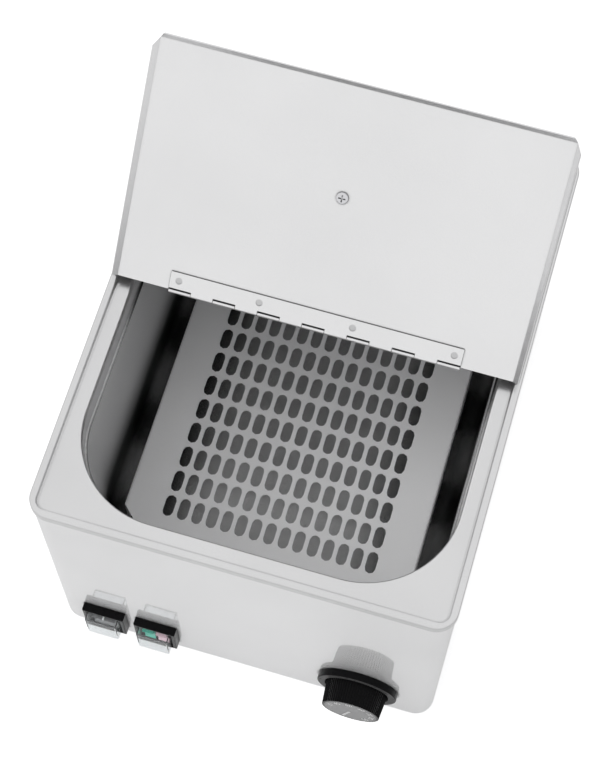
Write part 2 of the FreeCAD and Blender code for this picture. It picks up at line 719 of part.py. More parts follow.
def make_leaf(side):
    """One leaf of the piano hinge: the even knuckles are the rear one's."""
    top = Z_LID - SHEET
    y0, y1 = sorted((Y_HINGE, Y_HINGE + side * LEAF_REACH))
    parts = [box(-HINGE_L / 2, HINGE_L / 2, y0, y1, top - LEAF_T, top)]
    notches = []
    for number in range(KNUCKLES):
        x0, x1 = knuckle_span(number)
        own = (number % 2 == 0) == (side > 0)
        if own:
            x0, x1 = x0 + KNUCKLE_GAP / 2, x1 - KNUCKLE_GAP / 2
            parts.append(cylinder(KNUCKLE_R, Vec(x0, Y_HINGE, Z_HINGE), Vec(x1, Y_HINGE, Z_HINGE)))
        else:
            reach = KNUCKLE_R + LEAF_NOTCH
            x0, x1 = x0 - KNUCKLE_GAP / 2, x1 + KNUCKLE_GAP / 2
            notches.append(box(x0, x1, Y_HINGE - reach, Y_HINGE + reach, Z_HINGE - reach, Z_HINGE + reach))
    leaf = parts[0].fuse(parts[1:]).cut(group(notches))
    bore = HINGE_PIN_R if side > 0 else HINGE_PIN_R + PIN_GAP
    leaf = drilled(leaf, bore, Vec(-HINGE_L, Y_HINGE, Z_HINGE), Vec(HINGE_L, Y_HINGE, Z_HINGE))
    return leaf.cut(rivet_holes(side)).removeSplitter()


def make_rivets(side):
    under = Z_LID - SHEET - LEAF_T
    rivets = []
    for place in rivet_places(side):
        shank = cylinder(RIVET_R, place + Vec(0, 0, under), place + Vec(0, 0, Z_LID))
        head = cone(RIVET_R, RIVET_HEAD_R, place + Vec(0, 0, under - RIVET_HEAD_H), place + Vec(0, 0, under))
        rivets.append(shank.fuse(head))
    return group(rivets)


def rivet_holes(side):
    low, high = Vec(0, 0, Z_LID - 2 * (SHEET + LEAF_T)), Vec(0, 0, Z_LID + SHEET)
    return group(cylinder(RIVET_R, place + low, place + high) for place in rivet_places(side))


def make_hinge_pin():
    reach = HINGE_L / 2
    return cylinder(HINGE_PIN_R, Vec(-reach, Y_HINGE, Z_HINGE), Vec(reach, Y_HINGE, Z_HINGE))


def make_lid_rear():
    return lid_half(Y_HINGE + rear_setback(), Y_LID_BACK).cut(rivet_holes(1))


def make_lid_flap():
    flap = lid_half(Y_HINGE - FLAP_START, Y_LID_FRONT).cut(rivet_holes(-1))
    reach = HINGE_L / 2 + KNUCKLE_GAP
    room = KNUCKLE_R + LEAF_NOTCH
    flap = flap.cut(box(-reach, reach, Y_HINGE - room, Y_HINGE, Z_LID - 2 * SHEET, Z_LID + SHEET))
    centre = Vec(0, Y_HINGE - KNOB_REACH, Z_LID)
    flap = drilled(flap, LID_SCREW_R, centre - Vec(0, 0, 2 * SHEET), centre + Vec(0, 0, SHEET))
    return opened(flap)


def make_lid_knob():
    """A turned mushroom knob that stands on the outside of the flap."""
    head = LID_KNOB_HEAD_SHARE * LID_KNOB_H
    crown_r, crown_h = LID_KNOB_CROWN_SHARES
    outline = [(LID_SCREW_R, 0), (LID_KNOB_BASE_R, 0), (LID_KNOB_BASE_R, LID_KNOB_FOOT),
               (LID_KNOB_NECK_R, 2 * LID_KNOB_FOOT), (LID_KNOB_NECK_R, LID_KNOB_H - head),
               (LID_KNOB_R, LID_KNOB_H - LID_KNOB_SIDE_SHARE * head),
               (crown_r * LID_KNOB_R, LID_KNOB_H - crown_h * head),
               (LID_SCREW_R, LID_KNOB_H)]
    seat = Vec(0, Y_HINGE - KNOB_REACH, Z_LID)
    points = [seat + Vec(r, 0, z) for r, z in outline]
    edges = [Part.makeLine(a, b) for a, b in zip(points[:6], points[1:6])]
    edges.append(Part.Arc(*points[5:]).toShape())
    edges.append(Part.makeLine(points[-1], points[0]))
    knob = Part.Face(Part.Wire(edges)).revolve(seat, Vec(0, 0, 1), 360)
    core = cylinder(LID_SCREW_R, seat + Vec(0, 0, LID_SCREW_L), seat + Vec(0, 0, LID_KNOB_H))
    return opened(knob.fuse(core))


def make_lid_screw():
    """The screw from the inside of the flap into its knob."""
    seat = Vec(0, Y_HINGE - KNOB_REACH, Z_LID - SHEET)
    tip = seat - Vec(0, 0, LID_SCREW_HEAD_H)
    head = cylinder(LID_SCREW_HEAD_R, tip, seat)
    head = head.makeFillet(LID_SCREW_ROUND_SHARE * LID_SCREW_HEAD_H, level_edges(head, tip.z))
    head = head.cut(cross_recess(tip, LID_SCREW_HEAD_R, LID_SCREW_HEAD_H))
    shank = cylinder(LID_SCREW_R, seat, seat + Vec(0, 0, SHEET + LID_SCREW_L - FACE_GAP))
    return opened(head.fuse(shank))


# Switches
def front_box(x, half_w, half_h, y0, y1):
    return box(x - half_w, x + half_w, y0, y1, Z_SWITCH - half_h, Z_SWITCH + half_h)


def make_bezel(x):
    bezel = front_box(x, BEZEL_W / 2, BEZEL_H / 2, Y_WALL - BEZEL_OUT, Y_WALL)
    front = [edge for edge in bezel.Edges if abs(edge.CenterOfMass.y - Y_WALL + BEZEL_OUT) < PIN_GAP]
    bezel = bezel.makeFillet(BEZEL_BEND, front)
    half_w, half_h = CAP_W / 2 + SLIP_GAP / 2, CAP_H / 2 + SLIP_GAP / 2
    bezel = bezel.cut(front_box(x, half_w, half_h, Y_WALL - 2 * BEZEL_OUT, Y_WALL + SHEET))
    groove_end = Y_WALL - BEZEL_OUT + BEZEL_GROOVE_DEEP
    return bezel.cut(front_box(x, half_w + BEZEL_GROOVE, half_h, Y_WALL - 2 * BEZEL_OUT, groove_end))


def make_cap(x):
    cap = front_box(x, CAP_W / 2, CAP_H / 2, Y_WALL - CAP_OUT, Y_WALL)
    front = [edge for edge in cap.Edges if abs(edge.CenterOfMass.y - Y_WALL + CAP_OUT) < PIN_GAP]
    cap = cap.makeFillet(BEZEL_BEND, front)
    half_w, half_h = CAP_W / 2 - CAP_T, CAP_H / 2 - CAP_T
    return cap.cut(front_box(x, half_w, half_h, Y_WALL - CAP_OUT + CAP_T, Y_WALL + SHEET))


def cells(x, count):
    """Left and right side of each rocker's cell in a switch body."""
    inner = SWITCH_W - 2 * SWITCH_WALL
    width = (inner - (count - 1) * CELL_WALL) / count
    left = x - inner / 2
    return [(left + number * (width + CELL_WALL), left + number * (width + CELL_WALL) + width)
            for number in range(count)]


def make_switch_body(x, count):
    body = front_box(x, SWITCH_W / 2, SWITCH_H / 2, Y_WALL - SWITCH_OUT, Y_WALL + SWITCH_DEEP)
    half_h = SWITCH_H / 2 - SWITCH_WALL
    back = Y_WALL + SWITCH_DEEP
    front, floor = Y_WALL - 2 * SWITCH_OUT, back - SWITCH_FLOOR
    for x0, x1 in cells(x, count):
        body = body.cut(box(x0, x1, front, floor, Z_SWITCH - half_h, Z_SWITCH + half_h))
    tabs = []
    for side in mirrored_x(SWITCH_W / 4):
        for level in (-1, 0, 1):
            z0 = Z_SWITCH + level * SWITCH_H / 3 - SWITCH_TAB_W / 2
            x0 = x + side - SWITCH_TAB_T / 2
            tabs.append(box(x0, x0 + SWITCH_TAB_T, back, back + SWITCH_TAB_L, z0, z0 + SWITCH_TAB_W))
    start, end = rocker_pin_ends(x)
    return drilled(body.fuse(tabs), ROCKER_PIN_R, start, end)


def rocker_pin_ends(x):
    y = Y_WALL + ROCKER_PIVOT
    return Vec(x - SWITCH_W / 2, y, Z_SWITCH), Vec(x + SWITCH_W / 2, y, Z_SWITCH)


def make_rocker_pin(x):
    start, end = rocker_pin_ends(x)
    return cylinder(ROCKER_PIN_R, start, end)


def make_rocker(x0, x1):
    """A rocker with a dished face, tilted to its off position with the foot pressed in."""
    x0, x1 = x0 + ROCKER_GAP, x1 - ROCKER_GAP
    pivot = Vec(x0, Y_WALL + ROCKER_PIVOT, Z_SWITCH)
    half = ROCKER_H / 2
    top = pivot + Vec(0, -ROCKER_OUT, half)
    low = pivot + Vec(0, -ROCKER_OUT, -half)
    dip = pivot + Vec(0, -ROCKER_OUT + ROCKER_DIP, 0)
    back_low = pivot + Vec(0, -ROCKER_BACK, -half + ROCKER_DIP / 2)
    back_top = pivot + Vec(0, -ROCKER_BACK, half - ROCKER_DIP / 2)
    edges = [Part.Arc(top, dip, low).toShape(), Part.makeLine(low, back_low),
             Part.makeLine(back_low, back_top), Part.makeLine(back_top, top)]
    cap = Part.Face(Part.Wire(edges)).extrude(Vec(x1 - x0, 0, 0))
    across = Vec(x1 - x0, 0, 0)
    stem = box(x0, x1, pivot.y - ROCKER_BACK, pivot.y, Z_SWITCH - ROCKER_HUB_R, Z_SWITCH + ROCKER_HUB_R)
    rocker = fuse([cap, stem, cylinder(ROCKER_HUB_R, pivot, pivot + across)])
    rocker = drilled(rocker, ROCKER_PIN_R + PIN_GAP, pivot, pivot + across)
    rocker.rotate(pivot, Vec(1, 0, 0), ROCKER_TILT)
    return rocker


# Thermostat
def stat_screw_xs():
    return (KNOB_X - STAT_SCREW_SPACING / 2, KNOB_X + STAT_SCREW_SPACING / 2)


def on_axis(y):
    return Vec(KNOB_X, y, Z_KNOB)


def make_collar():
    front = Y_WALL - COLLAR_OUT
    collar = cylinder(COLLAR_R, on_axis(Y_WALL), on_axis(front))
    rim = [edge for edge in collar.Edges if abs(edge.CenterOfMass.y - front) < PIN_GAP]
    collar = collar.makeFillet(COLLAR_BEND, rim)
    collar = drilled(collar, COLLAR_POCKET_R, on_axis(Y_WALL - COLLAR_FLOOR), on_axis(front - OVERRUN))
    collar = drilled(collar, STAT_BUSH_R + SLIP_GAP, on_axis(Y_WALL + SHEET), on_axis(front - OVERRUN))
    for x in stat_screw_xs():
        start, end = Vec(x, Y_WALL + SHEET, Z_KNOB), Vec(x, front, Z_KNOB)
        collar = drilled(collar, STAT_SCREW_R + PIN_GAP, start, end)
    return collar


def knurled_wire(radius, y):
    """A closed zigzag round the knob's axis: a tooth tip, then a root, and so on."""
    points = []
    for number in range(2 * GRIP_TEETH):
        turn = math.pi * number / GRIP_TEETH
        reach = radius - (GRIP_TOOTH if number % 2 else 0)
        points.append(Vec(KNOB_X + reach * math.cos(turn), y, Z_KNOB + reach * math.sin(turn)))
    return Part.makePolygon(points + points[:1])


def make_knob():
    back = Y_WALL - COLLAR_FLOOR - STAT_SCREW_HEAD_H - GRIP_LIFT
    face = Y_WALL - KNOB_OUT
    knob = Part.makeLoft([knurled_wire(GRIP_R, back), knurled_wire(GRIP_TIP_R, face)], True, True)
    hollow = ring(GRIP_TIP_R - GRIP_WALL, GRIP_HUB_R, on_axis(back + OVERRUN), on_axis(face + GRIP_FACE))
    knob = knob.cut(hollow).cut(shaft_bar(back + OVERRUN, face + SHAFT_BLIND, PIN_GAP))
    return drilled(knob, DIAL_R, on_axis(face + DIAL_T), on_axis(face - OVERRUN))


def make_dial():
    face = Y_WALL - KNOB_OUT
    return cylinder(DIAL_R, on_axis(face + DIAL_T), on_axis(face))


def shaft_bar(y0, y1, gap):
    """A round bar along the knob's axis with one flat on top."""
    bar = cylinder(SHAFT_R + gap, on_axis(y0), on_axis(y1))
    reach = SHAFT_R + OVERRUN
    low, high = sorted((y0, y1))
    flat = Z_KNOB + SHAFT_R - SHAFT_FLAT + gap
    return bar.cut(box(KNOB_X - reach, KNOB_X + reach, low - OVERRUN, high + OVERRUN, flat, flat + reach))


def make_shaft():
    tip = Y_WALL - KNOB_OUT + SHAFT_BLIND + PIN_GAP
    return shaft_bar(Y_WALL - COLLAR_FLOOR - STAT_SCREW_HEAD_H, tip, 0).fuse(
        cylinder(SHAFT_R, on_axis(Y_WALL - COLLAR_FLOOR - STAT_SCREW_HEAD_H), on_axis(Y_PANEL + SHAFT_IN)))


def make_stat_body():
    front = Y_PANEL
    plate = box(KNOB_X - STAT_PLATE_W / 2, KNOB_X + STAT_PLATE_W / 2, front, front + SHEET,
                Z_KNOB - STAT_H / 2, Z_KNOB + STAT_H / 2)
    body = box(KNOB_X - STAT_W / 2, KNOB_X + STAT_W / 2, front + SHEET, front + STAT_DEEP,
               Z_KNOB - STAT_H / 2, Z_KNOB + STAT_H / 2)
    edges = [edge for edge in body.Edges if abs(edge.CenterOfMass.y - front - STAT_DEEP) < PIN_GAP]
    body = body.makeChamfer(STAT_BEVEL, edges)
    bush = cylinder(STAT_BUSH_R, on_axis(Y_WALL - COLLAR_FLOOR), on_axis(front))
    body = fuse([plate, body, bush])
    body = drilled(body, SHAFT_R + PIN_GAP, on_axis(Y_WALL - KNOB_OUT), on_axis(front + SHAFT_IN + FACE_GAP))
    for x in stat_screw_xs():
        end = Vec(x, Y_WALL - COLLAR_FLOOR + STAT_SCREW_L, Z_KNOB)
        body = drilled(body, STAT_SCREW_R, Vec(x, front, Z_KNOB), end)
    return body


def make_stat_screws():
    screws = []
    seat = Y_WALL - COLLAR_FLOOR
    for x in stat_screw_xs():
        base = Vec(x, seat, Z_KNOB)
        head = cylinder(STAT_SCREW_HEAD_R, base - Vec(0, STAT_SCREW_HEAD_H, 0), base)
        shank = cylinder(STAT_SCREW_R, base, base + Vec(0, STAT_SCREW_L, 0))
        screws.append(head.fuse(shank))
    return group(screws)


# Heating
def bent_rod(points, bend, radius):
    """A round rod along straight runs joined by arcs."""
    edges = []
    start = points[0]
    for before, corner, after in zip(points, points[1:], points[2:]):
        arrive = (corner - before).normalize()
        leave = (after - corner).normalize()
        half_turn = math.acos(max(-1.0, min(1.0, arrive.dot(leave)))) / 2
        enter = corner - arrive * (bend * math.tan(half_turn))
        depart = corner + leave * (bend * math.tan(half_turn))
        inward = (leave - arrive).normalize()
        middle = corner + inward * (bend / math.cos(half_turn) - bend)
        if (enter - start).Length > PIN_GAP:
            edges.append(Part.makeLine(start, enter))
        edges.append(Part.Arc(enter, middle, depart).toShape())
        start = depart
    edges.append(Part.makeLine(start, points[-1]))
    path = Part.Wire(edges)
    section = Part.Wire(Part.makeCircle(radius, points[0], points[1] - points[0]))
    return path.makePipeShell([section], True, False)


def spreader_y():
    return Y_MID + SPREADER_BACK


def element_z():
    return Z_UNDER - SPREADER_T - PIN_GAP - ELEMENT_R


def clamp_z():
    return element_z() - ELEMENT_R - PIN_GAP


def stud_places():
    offset = CLAMP_OFFSET_SHARE * SPREADER_D
    return [Vec(x, spreader_y() + y, 0) for x in mirrored_x(ELEMENT_PITCH) for y in mirrored_x(offset)]


def make_spreader():
    """A plate that carries the element's heat to the basin's floor."""
    plate = rounded_block(SPREADER_W, SPREADER_D, SPREADER_R, Z_UNDER - SPREADER_T, Z_UNDER)
    plate.translate(Vec(0, SPREADER_BACK, 0))
    low, high = Vec(0, 0, Z_UNDER - 2 * SPREADER_T), Vec(0, 0, Z_FLOOR)
    holes = [cylinder(STUD_R + SLIP_GAP, place + low, place + high) for place in stud_places()]
    holes += [cylinder(CUTOUT_SCREW_R, place + low, place + high) for place in cutout_screw_places()]
    return plate.cut(group(holes))


def element_ends():
    reach = (ELEMENT_RUNS - 1) / 2 * ELEMENT_PITCH
    return [Vec(x, spreader_y() - ELEMENT_RUN / 2, element_z()) for x in (-reach, reach)]


def make_element():
    """A tubular element bent to and fro, with both ends at the front."""
    start, end = element_ends()
    front, back = start.y, start.y + ELEMENT_RUN
    points = []
    for number in range(ELEMENT_RUNS):
        x = start.x + number * ELEMENT_PITCH
        run = [Vec(x, front, start.z), Vec(x, back, start.z)]
        points += run if number % 2 == 0 else run[::-1]
    bend = ELEMENT_PITCH / 2
    rod = bent_rod(points, bend - PIN_GAP, ELEMENT_R)
    tips = [cylinder(TERMINAL_R, tip, tip - Vec(0, TERMINAL_L, 0)) for tip in (start, end)]
    return fuse([rod] + tips)


def make_clamps():
    top = clamp_z()
    bars = []
    reach = SPREADER_W / 2 - CLAMP_MARGIN
    low, high = Vec(0, 0, top - 2 * CLAMP_T), Vec(0, 0, top + CLAMP_T)
    for y in mirrored_x(CLAMP_OFFSET_SHARE * SPREADER_D):
        middle = spreader_y() + y
        bar = box(-reach, reach, middle - CLAMP_W / 2, middle + CLAMP_W / 2, top - CLAMP_T, top)
        for place in stud_places():
            bar = drilled(bar, STUD_R + SLIP_GAP, place + low, place + high)
        bars.append(bar)
    return group(bars)


def make_studs():
    return group(cylinder(STUD_R, place + Vec(0, 0, Z_UNDER), place + Vec(0, 0, Z_UNDER - STUD_L))
                 for place in stud_places())


def make_stud_nuts():
    seat = clamp_z() - CLAMP_T
    nuts = []
    for place in stud_places():
        top = place + Vec(0, 0, seat)
        nut = hexagon(NUT_ACROSS, top, top - Vec(0, 0, NUT_H))
        nuts.append(drilled(nut, STUD_R, top + Vec(0, 0, NUT_H), top - Vec(0, 0, 2 * NUT_H)))
    return group(nuts)


def bulb_centre():
    return Vec(0, spreader_y() - SPREADER_D / 2 - BULB_AHEAD, Z_UNDER - BULB_R - PIN_GAP)


def make_bulb():
    half = Vec(BULB_L / 2, 0, 0)
    return cylinder(BULB_R, bulb_centre() - half, bulb_centre() + half)


def make_bulb_clips():
    """Two strap clips that are welded under the basin and hold the bulb up against it."""
    centre = bulb_centre()
    reach = BULB_R + PIN_GAP
    outer = reach + CLIP_T
    clips = []
    for x in mirrored_x(BULB_L / 3):
        x0, x1 = x - CLIP_W / 2, x + CLIP_W / 2
        strap = cylinder(outer, Vec(x0, centre.y, centre.z), Vec(x1, centre.y, centre.z))
        cheeks = box(x0, x1, centre.y - outer, centre.y + outer, centre.z, Z_UNDER)
        spread = outer + CLIP_WING
        wings = box(x0, x1, centre.y - spread, centre.y + spread, Z_UNDER - CLIP_T, Z_UNDER)
        hole = cylinder(reach, Vec(x0 - CLIP_W, centre.y, centre.z), Vec(x1 + CLIP_W, centre.y, centre.z))
        slot = box(x0 - CLIP_W, x1 + CLIP_W, centre.y - reach, centre.y + reach, centre.z, Z_UNDER + CLIP_T)
        clips.append(fuse([strap, cheeks, wings]).cut(hole.fuse(slot)))
    return group(clips)


def make_capillary():
    """The thin tube from the thermostat's back up to the end of its bulb."""
    end = bulb_centre() + Vec(BULB_L / 2, 0, 0)
    start = on_axis(Y_PANEL + STAT_DEEP)
    level = Vec(KNOB_X, end.y, Z_KNOB)
    bend = (end.z - level.z) / 2 - PIN_GAP
    return bent_rod([start, level, Vec(KNOB_X, end.y, end.z), end], bend, CAPILLARY_R)


def cutout_screw_places():
    return [Vec(0, spreader_y() + side * CUTOUT_HOLE_Y, 0) for side in (-1, 1)]


def make_cutout():
    """The disc cut-out that stops the element if the basin boils dry."""
    top = Z_UNDER - SPREADER_T
    y = spreader_y()
    half_w, half_d = CUTOUT_FLANGE_W / 2, CUTOUT_FLANGE_D / 2
    flange = box(-half_w, half_w, y - half_d, y + half_d, top - SHEET, top)
    foot = top - CUTOUT_H
    can = cylinder(CUTOUT_R, Vec(0, y, top), Vec(0, y, foot))
    half_t, half_w = SWITCH_TAB_T / 2, SWITCH_TAB_W / 2
    tabs = [box(x - half_t, x + half_t, y - half_w, y + half_w, foot - SWITCH_TAB_L, foot)
            for x in mirrored_x(CUTOUT_R / 2)]
    cutout = fuse([flange, can] + tabs)
    low, high = Vec(0, 0, top - 2 * SHEET), Vec(0, 0, top + SHEET)
    for place in cutout_screw_places():
        cutout = drilled(cutout, CUTOUT_SCREW_R, place + low, place + high)
    return cutout


def make_cutout_screws():
    seat = Z_UNDER - SPREADER_T - SHEET
    screws = []
    for place in cutout_screw_places():
        base = place + Vec(0, 0, seat)
        head = cylinder(CUTOUT_SCREW_HEAD_R, base - Vec(0, 0, CUTOUT_SCREW_HEAD_H), base)
        screws.append(head.fuse(cylinder(CUTOUT_SCREW_R, base, base + Vec(0, 0, SHEET + SPREADER_T))))
    return group(screws)


# Electrical parts
def block_y():
    return Y_BACK - BLOCK_BACK


def earth_y():
    return block_y()


def pole_xs():
    pitch = BLOCK_W / BLOCK_POLES
    return [BLOCK_X + (number - (BLOCK_POLES - 1) / 2) * pitch for number in range(BLOCK_POLES)]


def make_terminal_block():
    y = block_y()
    half_w, half_d = BLOCK_W / 2, BLOCK_D / 2
    block = box(BLOCK_X - half_w, BLOCK_X + half_w, y - half_d, y + half_d, Z_WALL, Z_WALL + BLOCK_H)
    wire = Z_WALL + BLOCK_H / 3
    for x in pole_xs():
        block = drilled(block, BLOCK_SCREW_R, Vec(x, y - BLOCK_D, wire), Vec(x, y + BLOCK_D, wire))
        for offset in mirrored_x(BLOCK_D / 4):
            top = Vec(x, y + offset, Z_WALL + BLOCK_H)
            block = drilled(block, BLOCK_SCREW_R, top - Vec(0, 0, BLOCK_H / 2), top)
    return block


def make_terminal_screws():
    screws = []
    for x in pole_xs():
        for offset in mirrored_x(BLOCK_D / 4):
            top = Vec(x, block_y() + offset, Z_WALL + BLOCK_H - BLOCK_SCREW_H)
            screws.append(cylinder(BLOCK_SCREW_R, top - Vec(0, 0, BLOCK_H / 3), top))
    return group(screws)


def make_earth_stud():
    low = Vec(EARTH_X, earth_y(), Z_BASE)
    return cylinder(EARTH_R, low, low + Vec(0, 0, EARTH_L))


def make_earth_nuts():
    nuts = []
    for level in (0, 1):
        seat = Vec(EARTH_X, earth_y(), Z_WALL + level * (NUT_H + FACE_GAP))
        nut = hexagon(NUT_ACROSS, seat, seat + Vec(0, 0, NUT_H))
        nuts.append(drilled(nut, EARTH_R, seat - Vec(0, 0, NUT_H), seat + Vec(0, 0, 2 * NUT_H)))
    return group(nuts)


def gland_point(y):
    return Vec(GLAND_X, y, GLAND_Z)


def make_gland():
    """The gland's body: its hexagon outside the wall and its thread through it."""
    hex_end = Y_REAR_WALL + GLAND_HEX_L
    inside = Y_REAR_WALL - SHEET - GLAND_INSIDE_L
    body = hexagon(GLAND_HEX, gland_point(Y_REAR_WALL), gland_point(hex_end))
    body = body.fuse(cylinder(GLAND_THREAD_R, gland_point(inside), gland_point(Y_REAR_WALL)))
    return drilled(body, GLAND_BORE_R, gland_point(inside - OVERRUN), gland_point(hex_end + OVERRUN))


def make_gland_dome():
    start = Y_REAR_WALL + GLAND_HEX_L
    middle = start + GLAND_DOME_L / 2
    end = start + GLAND_DOME_L
    dome = fuse([
        cylinder(GLAND_DOME_R, gland_point(start), gland_point(middle)),
        cone(GLAND_DOME_R, GLAND_TIP_R, gland_point(middle), gland_point(end))])
    return drilled(dome, GLAND_BORE_R, gland_point(start - OVERRUN), gland_point(end + OVERRUN))


def make_gland_nut():
    seat = Y_REAR_WALL - SHEET
    nut = hexagon(GLAND_HEX, gland_point(seat - GLAND_NUT_L), gland_point(seat))
    return drilled(nut, GLAND_THREAD_R, gland_point(seat - 2 * GLAND_NUT_L), gland_point(seat + GLAND_NUT_L))


def build_nodes():
    nodes = {
        "deck_cover": make_deck_cover(),
        "basin": make_basin(),
        "base_plate": make_base_plate(),
        "base_plate_screws": make_base_screws(),
        "foot_screws": make_foot_screws(),
        "heat_spreader": make_spreader(),
        "heating_element": make_element(),
        "element_clamps": make_clamps(),
        "clamp_studs": make_studs(),
        "clamp_nuts": make_stud_nuts(),
        "thermostat_bulb": make_bulb(),
        "bulb_clips": make_bulb_clips(),
        "capillary_tube": make_capillary(),
        "dry_boil_cutout": make_cutout(),
        "cutout_screws": make_cutout_screws(),
        "terminal_block": make_terminal_block(),
        "terminal_screws": make_terminal_screws(),
        "earth_stud": make_earth_stud(),
        "earth_nuts": make_earth_nuts(),
        "cable_gland": make_gland(),
        "gland_dome_nut": make_gland_dome(),
        "gland_lock_nut": make_gland_nut(),
        "perforated_tray": make_tray(),
        "lid_rear": make_lid_rear(),
        "hinge_leaf_rear": make_leaf(1),
        "hinge_rivets_rear": make_rivets(1),
        "hinge_pin": make_hinge_pin(),
        "lid_flap": make_lid_flap(),
        "hinge_leaf_flap": opened(make_leaf(-1)),
        "hinge_rivets_flap": opened(make_rivets(-1)),
        "lid_knob": make_lid_knob(),
        "lid_knob_screw": make_lid_screw(),
        "thermostat_collar": make_collar(),
        "thermostat_knob": make_knob(),
        "knob_dial": make_dial(),
        "thermostat_shaft": make_shaft(),
        "thermostat_body": make_stat_body(),
        "thermostat_screws": make_stat_screws(),
    }
    nodes.update(housing_sheets())
    for name, place in foot_places().items():
        nodes[name] = make_foot(place)
    for name, x, count in (("power", POWER_X, 1), ("signal", SIGNAL_X, 2)):
        nodes[name + "_bezel"] = make_bezel(x)
        nodes[name + "_splash_cap"] = make_cap(x)
        nodes[name + "_switch_body"] = make_switch_body(x, count)
        nodes[name + "_rocker_pin"] = make_rocker_pin(x)
    nodes["power_rocker"] = make_rocker(*cells(POWER_X, 1)[0])
    nodes["green_rocker"] = make_rocker(*cells(SIGNAL_X, 2)[0])
    nodes["red_rocker"] = make_rocker(*cells(SIGNAL_X, 2)[1])
    return nodes


os.makedirs("parts", exist_ok=True)
for node, shape in build_nodes().items():
    shape.exportStep(os.path.join("parts", node + ".step"))
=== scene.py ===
import json
import math

import bpy
from mathutils import Matrix, Vector


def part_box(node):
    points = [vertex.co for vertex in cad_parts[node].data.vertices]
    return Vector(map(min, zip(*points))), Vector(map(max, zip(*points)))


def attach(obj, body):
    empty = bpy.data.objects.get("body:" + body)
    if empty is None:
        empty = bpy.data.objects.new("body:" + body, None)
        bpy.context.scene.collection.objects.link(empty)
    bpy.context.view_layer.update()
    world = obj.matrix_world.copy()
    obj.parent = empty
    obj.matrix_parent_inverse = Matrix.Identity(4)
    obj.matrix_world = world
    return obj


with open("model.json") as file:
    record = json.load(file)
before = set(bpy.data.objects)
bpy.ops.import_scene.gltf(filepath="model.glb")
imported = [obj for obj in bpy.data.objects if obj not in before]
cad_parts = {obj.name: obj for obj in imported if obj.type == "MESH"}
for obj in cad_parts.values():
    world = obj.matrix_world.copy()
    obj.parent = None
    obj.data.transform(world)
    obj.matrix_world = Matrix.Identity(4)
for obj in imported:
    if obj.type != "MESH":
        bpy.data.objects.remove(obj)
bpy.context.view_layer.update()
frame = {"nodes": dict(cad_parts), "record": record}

MM = 0.001

# Camera, fitted to the straight edges of the photograph
CAM_AT = (0.1318, -0.4915, 1.3507)
CAM_RIGHT = (0.9588, 0.2839, 0.0036)
CAM_UP = (-0.2629, 0.8831, 0.3886)
CAM_BACK = (0.1071, -0.3736, 0.9214)
CAM_LENS = 90.98
CAM_SENSOR = 36.0
CAM_REACH = 20.0

# Floor, world and lamp, in metres and watts. A strength of 1 is white.
FLOOR_HALF = 6.0
FLOOR_TONES = (0.80, 0.82)
FLOOR_CLOUDS = 3
FLOOR_ROUGHNESS = 0.9
FLOOR_GLOW = (("Is Camera Ray", 0.75), ("Is Glossy Ray", 0.26), ("Is Transmission Ray", 0.27))
WORLD_LIGHT, WORLD_SEEN = 0.32, 1.0
LAMP_AT, LAMP_AIM = (-1.7, -0.8, 1.9), (0, 0, 0.15)
LAMP_SIZE, LAMP_POWER = 3.0, 38

# Noise becomes a tone or a gloss between these two values of it
NOISE_LOW, NOISE_HIGH = 0.3, 0.7

# Painted shade in corners: rays cast from each point, and the open share above which nothing is
# darkened
CORNER_RAYS, CORNER_OPEN = 6, 0.8

# Steel: noise per metre of the wide tone; scale, edge and clear share of the fine spots;
# and their relief, in metres
STEEL_CLOUDS = 9
SPOT_SIZE, SPOT_EDGE, SPOT_PULL = 4.0, 0.012, 0.4
STEEL_BUMP, STEEL_RELIEF = 0.2, 1e-6

# Plastic: noise per metre of the wide tone and of the gloss, and the spread of the gloss
PLASTIC_CLOUDS, GLOSS_CLOUDS = 60, 220
GLOSS_SPREAD = (0.8, 1.2)
PLASTIC_BUMP = 0.25

# Clear caps: how much light they let through, noise per metre of the haze and of the relief
CAP_CLARITY, CAP_IOR = 0.95, 1.07
CAP_HAZE, CAP_WAVES = 90, 500
CAP_TINTS = ((0.88, 0.90, 0.91), (0.93, 0.94, 0.945))
CAP_ROUGHNESS = (0.02, 0.08)
CAP_BUMP, CAP_RELIEF = 0.1, 1e-5


# Node helpers
def new_material(name):
    mat = bpy.data.materials.new(name)
    mat.use_nodes = True
    tree = mat.node_tree
    return mat, tree, tree.nodes["Principled BSDF"]


def node(tree, kind, **inputs):
    made = tree.nodes.new(kind)
    for key, value in inputs.items():
        made.inputs[key.replace("_", " ")].default_value = value
    return made


def noise(tree, scale, size=1.0, detail=2.0):
    """Noise in object coordinates, scale times size to the metre."""
    place = tree.nodes.new("ShaderNodeTexCoord")
    mapping = node(tree, "ShaderNodeMapping", Scale=(scale, scale, scale))
    tree.links.new(place.outputs["Object"], mapping.inputs["Vector"])
    made = node(tree, "ShaderNodeTexNoise", Scale=size, Detail=detail)
    tree.links.new(mapping.outputs["Vector"], made.inputs["Vector"])
    return made.outputs["Fac"]


def ramp(tree, source, low, high):
    """A colour between low and high, by a noise."""
    made = tree.nodes.new("ShaderNodeValToRGB")
    ends = ((NOISE_LOW, low), (NOISE_HIGH, high))
    for element, (place, colour) in zip(made.color_ramp.elements, ends):
        element.position = place
        element.color = (*colour, 1)
    tree.links.new(source, made.inputs["Fac"])
    return made.outputs["Color"]


def span(tree, source, low, high, start=NOISE_LOW, end=NOISE_HIGH):
    """A number that goes from low to high as the source goes from start to end."""
    made = node(tree, "ShaderNodeMapRange", From_Min=start, From_Max=end, To_Min=low, To_Max=high)
    tree.links.new(source, made.inputs["Value"])
    return made.outputs["Result"]


